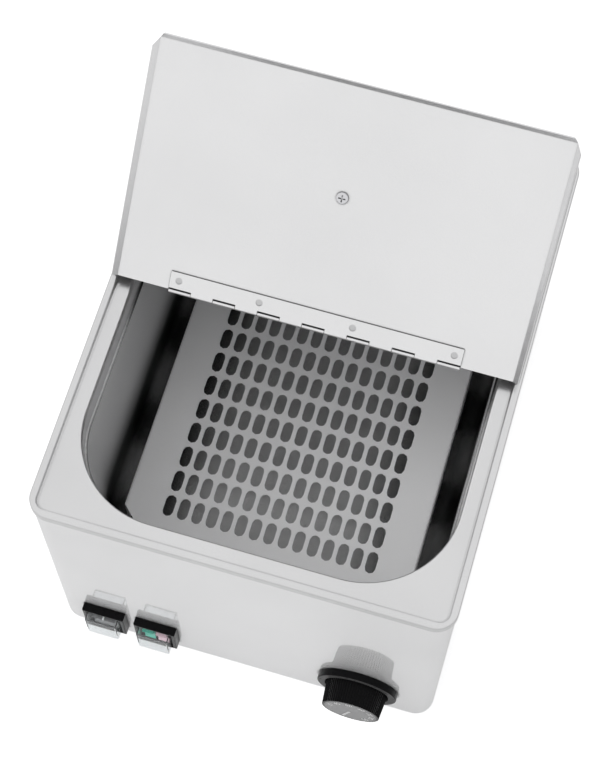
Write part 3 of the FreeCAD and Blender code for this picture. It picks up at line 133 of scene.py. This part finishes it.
def maths(tree, operation, first, second, clamp=False):
    """first and second are sockets, or second is a number."""
    made = tree.nodes.new("ShaderNodeMath")
    made.operation = operation
    made.use_clamp = clamp
    tree.links.new(first, made.inputs[0])
    if isinstance(second, float):
        made.inputs[1].default_value = second
    else:
        tree.links.new(second, made.inputs[1])
    return made.outputs["Value"]


def bump(tree, bsdf, source, strength, distance):
    made = node(tree, "ShaderNodeBump", Strength=strength, Distance=distance)
    tree.links.new(source, made.inputs["Height"])
    tree.links.new(made.outputs["Normal"], bsdf.inputs["Normal"])


# Materials
def crevices(tree, colour, reach, darkest, shut):
    """Darkens a colour with painted shade in seams, corners and under edges, within reach in
    metres.
    """
    shade = node(tree, "ShaderNodeAmbientOcclusion", Distance=reach)
    shade.samples = CORNER_RAYS
    level = span(tree, shade.outputs["AO"], darkest, 1.0, shut, CORNER_OPEN)
    mix = tree.nodes.new("ShaderNodeMix")
    mix.data_type = "RGBA"
    mix.blend_type = "MULTIPLY"
    mix.inputs["Factor"].default_value = 1.0
    tree.links.new(colour, mix.inputs["A"])
    tree.links.new(level, mix.inputs["B"])
    return mix.outputs["Result"]


def metal(name, colour, clear, dull, grain=2200, clear_share=0.5, tone=0.02, reach=0.003,
          darkest=0.4, metallic=1.0, shut=0.25):
    """Steel as a fine mixture of clear and dull spots, with painted shade in seams and corners.

    clear and dull are the two roughnesses, clear_share sets how much is clear, and the colour
    varies by tone. Within reach of a corner the colour falls to darkest as painted shade, where
    less than shut of the sky shows.
    """
    mat, tree, bsdf = new_material(name)
    bsdf.inputs["Metallic"].default_value = metallic
    low = [max(0.0, c - tone) for c in colour]
    high = [min(1.0, c + tone) for c in colour]
    base = ramp(tree, noise(tree, STEEL_CLOUDS, detail=3), low, high)
    # The base colour carries painted shade in seams and corners
    tree.links.new(crevices(tree, base, reach, darkest, shut), bsdf.inputs["Base Color"])
    fine = noise(tree, grain, size=SPOT_SIZE, detail=1)
    edge = 0.5 + (clear_share - 0.5) * SPOT_PULL
    tree.links.new(span(tree, fine, clear, dull, edge - SPOT_EDGE, edge + SPOT_EDGE),
                   bsdf.inputs["Roughness"])
    bump(tree, bsdf, noise(tree, grain), STEEL_BUMP, STEEL_RELIEF)
    return mat


def plastic(name, colour, roughness, tone=0.15, relief=1e-5, grain=2600, **extra):
    """Moulded plastic with a fine spark-eroded grain. extra goes to the shader's sockets."""
    mat, tree, bsdf = new_material(name)
    low = [c * (1 - tone) for c in colour]
    high = [min(1.0, c * (1 + tone)) for c in colour]
    tree.links.new(ramp(tree, noise(tree, PLASTIC_CLOUDS, detail=3), low, high),
                   bsdf.inputs["Base Color"])
    gloss = [roughness * share for share in GLOSS_SPREAD]
    tree.links.new(span(tree, noise(tree, GLOSS_CLOUDS), *gloss), bsdf.inputs["Roughness"])
    bump(tree, bsdf, noise(tree, grain), PLASTIC_BUMP, relief)
    for key, value in extra.items():
        bsdf.inputs[key.replace("_", " ")].default_value = value
    return mat


def clear_cap():
    """Slightly milky soft plastic."""
    mat, tree, bsdf = new_material("clear_cap")
    bsdf.inputs["Transmission Weight"].default_value = CAP_CLARITY
    bsdf.inputs["IOR"].default_value = CAP_IOR
    haze = noise(tree, CAP_HAZE, detail=4)
    tree.links.new(ramp(tree, haze, *CAP_TINTS), bsdf.inputs["Base Color"])
    tree.links.new(span(tree, haze, *CAP_ROUGHNESS), bsdf.inputs["Roughness"])
    bump(tree, bsdf, noise(tree, CAP_WAVES), CAP_BUMP, CAP_RELIEF)
    return mat


# In each steel, reach, darkest and shut set the painted shade in its seams and corners
MATERIALS = {
    "stainless_satin": metal("stainless_satin", (0.67, 0.67, 0.675), 0.16, 0.40, reach=0.0025,
                             darkest=0.0, shut=0.5),
    "stainless_mirror": metal("stainless_mirror", (0.80, 0.80, 0.805), 0.35, 0.60, reach=0.05,
                              darkest=0.0, metallic=0.6, shut=0.42),
    "stainless_polished": metal("stainless_polished", (0.87, 0.87, 0.875), 0.055, 0.60,
                                clear_share=0.42, darkest=0.1, shut=0.5),
    "galvanised": metal("galvanised", (0.60, 0.62, 0.64), 0.30, 0.50, grain=300, tone=0.08),
    "screw_steel": metal("screw_steel", (0.66, 0.66, 0.68), 0.18, 0.35, grain=2500, reach=0.0015,
                         darkest=0.2),
    "aluminium_plate": metal("aluminium_plate", (0.78, 0.79, 0.80), 0.28, 0.45),
    "element_sheath": metal("element_sheath", (0.36, 0.33, 0.31), 0.35, 0.60, tone=0.08),
    "copper_tube": metal("copper_tube", (0.75, 0.42, 0.27), 0.20, 0.40, tone=0.06),
    "brass_screw": metal("brass_screw", (0.76, 0.60, 0.28), 0.18, 0.35, tone=0.05),
    "black_plastic": plastic("black_plastic", (0.004, 0.004, 0.0045), 0.30, IOR=1.15,
                             Sheen_Weight=0.72, Sheen_Roughness=0.26),
    "white_ceramic": plastic("white_ceramic", (0.82, 0.81, 0.77), 0.25, tone=0.04),
    "grey_plastic": plastic("grey_plastic", (0.32, 0.33, 0.35), 0.42),
    "dial_grey": plastic("dial_grey", (0.27, 0.27, 0.275), 0.22, tone=0.05),
    "rocker_dark": plastic("rocker_dark", (0.13, 0.13, 0.132), 0.22, Sheen_Weight=0.4),
    "rocker_green": plastic("rocker_green", (0.06, 0.55, 0.40), 0.22, tone=0.06),
    "rocker_red": plastic("rocker_red", (0.90, 0.62, 0.70), 0.22, tone=0.06),
    "black_rubber": plastic("black_rubber", (0.02, 0.02, 0.02), 0.65, grain=1400, relief=4e-5),
    "clear_cap": clear_cap(),
}
# reach, darkest and shut set the painted shade in the lid's folds and seams
LID_STEEL = metal("stainless_lid", (0.77, 0.77, 0.775), 0.20, 0.42, reach=0.004, darkest=0.1,
                  shut=0.5)
RIVET_STEEL = metal("stainless_rivet", (0.58, 0.58, 0.585), 0.35, 0.60, reach=0.001)
TRAY_STEEL = metal("stainless_tray", (0.96, 0.96, 0.965), 0.50, 0.80, metallic=0.15)
WHITE_PRINT = plastic("white_print", (0.93, 0.93, 0.93), 0.35, tone=0.03)
OWN_STEEL = {
    "lid_flap": LID_STEEL, "lid_rear": LID_STEEL,
    "hinge_leaf_flap": LID_STEEL, "hinge_leaf_rear": LID_STEEL,
    "hinge_rivets_flap": RIVET_STEEL, "hinge_rivets_rear": RIVET_STEEL,
    "perforated_tray": TRAY_STEEL,
}

for part in frame["record"]["subparts"]:
    obj = frame["nodes"][part["node"]]
    obj.data.materials.clear()
    obj.data.materials.append(OWN_STEEL.get(part["node"], MATERIALS[part["material_slot"]]))


# Marks on the controls. Angles are in degrees, anticlockwise as seen from the front.
MARK_PROUD = 0.05 * MM
NUMBER_RADIUS = 14.6 * MM
NUMBER_SIZE = 5.2 * MM
NUMBER_WEIGHT = 0.11 * MM
NUMBER_FIRST, NUMBER_STEP = 166.0, -35.0
NUMBERS = (30, 40, 50, 60, 70, 80, 90)
POINTER_ANGLE = -107.0
POINTER_FROM, POINTER_TO, POINTER_HALF_W = 1.5 * MM, 16.5 * MM, 0.9 * MM
STROKE_HALF_W, STROKE_DOWN, STROKE_BACK = 0.6 * MM, 5.0 * MM, 2.2 * MM
STROKE_STEPS = 12


def mesh_piece(name, verts, faces, material, body):
    mesh = bpy.data.meshes.new(name)
    mesh.from_pydata(verts, [], faces)
    mesh.materials.append(material)
    obj = bpy.data.objects.new(name, mesh)
    bpy.context.scene.collection.objects.link(obj)
    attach(obj, body)
    return obj


def strip(start, end, half_w, y):
    """A flat bar's corners between two points (x, z) on a plane that faces the front."""
    along = Vector((end[0] - start[0], end[1] - start[1])).normalized() * half_w
    across = Vector((-along.y, along.x))
    return [(point[0] + sign * across.x, y, point[1] + sign * across.y)
            for point, sign in ((start, -1), (end, -1), (end, 1), (start, 1))]


def make_numbers(centre, y):
    """Plain numbers round the dial, their feet towards its middle."""
    for place, number in enumerate(NUMBERS):
        angle = math.radians(NUMBER_FIRST + NUMBER_STEP * place)
        text = bpy.data.curves.new("dial_number", "FONT")
        text.body = str(number)
        text.size = NUMBER_SIZE
        text.offset = NUMBER_WEIGHT
        text.align_x = "CENTER"
        text.align_y = "CENTER"
        carrier = bpy.data.objects.new("dial_number_source", text)
        bpy.context.scene.collection.objects.link(carrier)
        bpy.context.view_layer.update()
        depsgraph = bpy.context.evaluated_depsgraph_get()
        flat = bpy.data.meshes.new_from_object(carrier.evaluated_get(depsgraph))
        bpy.data.objects.remove(carrier)
        middle = Vector((centre[0] + NUMBER_RADIUS * math.cos(angle), y,
                         centre[1] + NUMBER_RADIUS * math.sin(angle)))
        upright = Matrix.Rotation(math.radians(90), 4, "X")
        turned = Matrix.Rotation(math.radians(90) - angle, 4, "Y")
        flat.transform(Matrix.Translation(middle) @ turned @ upright)
        verts = [tuple(vert.co) for vert in flat.vertices]
        faces = [tuple(face.vertices) for face in flat.polygons]
        mesh_piece("dial_number_%d" % number, verts, faces, WHITE_PRINT, "thermostat_knob")


def make_pointer(centre, y):
    angle = math.radians(POINTER_ANGLE)
    ends = [(centre[0] + reach * math.cos(angle), centre[1] + reach * math.sin(angle))
            for reach in (POINTER_FROM, POINTER_TO)]
    mesh_piece("dial_pointer", strip(*ends, POINTER_HALF_W, y), [(0, 1, 2, 3)], WHITE_PRINT,
               "thermostat_knob")


def make_dial_marks():
    low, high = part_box("knob_dial")
    centre = ((low[0] + high[0]) / 2, (low[2] + high[2]) / 2)
    y = low[1] - MARK_PROUD
    make_numbers(centre, y)
    make_pointer(centre, y)


def make_on_mark():
    """The stroke on the upper half of the power rocker: up its face and over its top end."""
    rocker = frame["nodes"]["power_rocker"]
    low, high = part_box("power_rocker")
    x = (low[0] + high[0]) / 2
    shares = [step / STROKE_STEPS for step in range(STROKE_STEPS + 1)]
    face_aim, end_aim = Vector((0, 1, 0)), Vector((0, 0, -1))
    rays = [(low[1] - MM, high[2] - STROKE_DOWN * (1 - share) - MARK_PROUD, face_aim)
            for share in shares]
    rays += [(low[1] + STROKE_BACK * share + MARK_PROUD, high[2] + MM, end_aim)
             for share in shares]
    verts = []
    for y, z, aim in rays:
        for side in (-1, 1):
            start = Vector((x + side * STROKE_HALF_W, y, z))
            _, place, normal, _ = rocker.ray_cast(start, aim)
            verts.append(tuple(place + 2 * MARK_PROUD * normal))
    faces = [(2 * i, 2 * i + 1, 2 * i + 3, 2 * i + 2) for i in range(len(rays) - 1)]
    mesh_piece("power_on_mark", verts, faces, WHITE_PRINT, "power_rocker")


make_dial_marks()
make_on_mark()


# Camera, floor, world and lamp
def make_camera():
    data = bpy.data.cameras.new("camera")
    data.lens = CAM_LENS
    data.sensor_width = CAM_SENSOR
    data.clip_end = CAM_REACH
    obj = bpy.data.objects.new("camera", data)
    bpy.context.scene.collection.objects.link(obj)
    turn = Matrix((CAM_RIGHT, CAM_UP, CAM_BACK)).transposed().to_4x4()
    obj.matrix_world = Matrix.Translation(CAM_AT) @ turn
    bpy.context.scene.camera = obj


def make_floor():
    """Matt and pale, with a glow that makes it white to the eye and grey in reflections."""
    mesh = bpy.data.meshes.new("floor")
    corners = [(x * FLOOR_HALF, y * FLOOR_HALF, 0) for x, y in ((-1, -1), (1, -1), (1, 1), (-1, 1))]
    mesh.from_pydata(corners, [], [(0, 1, 2, 3)])
    obj = bpy.data.objects.new("floor", mesh)
    bpy.context.scene.collection.objects.link(obj)
    mat, tree, bsdf = new_material("floor")
    bsdf.inputs["Roughness"].default_value = FLOOR_ROUGHNESS
    bsdf.inputs["Specular IOR Level"].default_value = 0.0
    low, high = [(tone, tone, tone) for tone in FLOOR_TONES]
    tree.links.new(ramp(tree, noise(tree, FLOOR_CLOUDS), low, high), bsdf.inputs["Base Color"])
    path = tree.nodes.new("ShaderNodeLightPath")
    total = None
    for name, strength in FLOOR_GLOW:
        glow = maths(tree, "MULTIPLY", path.outputs[name], strength)
        total = maths(tree, "ADD", total, glow) if total else glow
    bsdf.inputs["Emission Color"].default_value = (1, 1, 1, 1)
    tree.links.new(total, bsdf.inputs["Emission Strength"])
    mesh.materials.append(mat)


def make_world():
    """White to the eye, to steel and to clear plastic, and a soft fill light for the rest."""
    world = bpy.data.worlds.new("world")
    bpy.context.scene.world = world
    world.use_nodes = True
    tree = world.node_tree
    background = tree.nodes["Background"]
    background.inputs["Color"].default_value = (1, 1, 1, 1)
    path = tree.nodes.new("ShaderNodeLightPath")
    total = path.outputs["Is Camera Ray"]
    for name in ("Is Glossy Ray", "Is Transmission Ray"):
        total = maths(tree, "ADD", total, path.outputs[name], clamp=True)
    level = span(tree, total, WORLD_LIGHT, WORLD_SEEN, 0.0, 1.0)
    tree.links.new(level, background.inputs["Strength"])


def make_lamp():
    """A large soft lamp from the left. Steel shows the white surroundings, not its glare."""
    data = bpy.data.lights.new("key", "AREA")
    data.shape = "RECTANGLE"
    data.size = data.size_y = LAMP_SIZE
    data.energy = LAMP_POWER
    obj = bpy.data.objects.new("key", data)
    bpy.context.scene.collection.objects.link(obj)
    obj.location = LAMP_AT
    aim = Vector(LAMP_AIM) - Vector(LAMP_AT)
    obj.rotation_euler = aim.to_track_quat("-Z", "Y").to_euler()
    obj.visible_glossy = False


make_camera()
make_floor()
make_world()
make_lamp()

bpy.context.scene.view_settings.view_transform = "Standard"
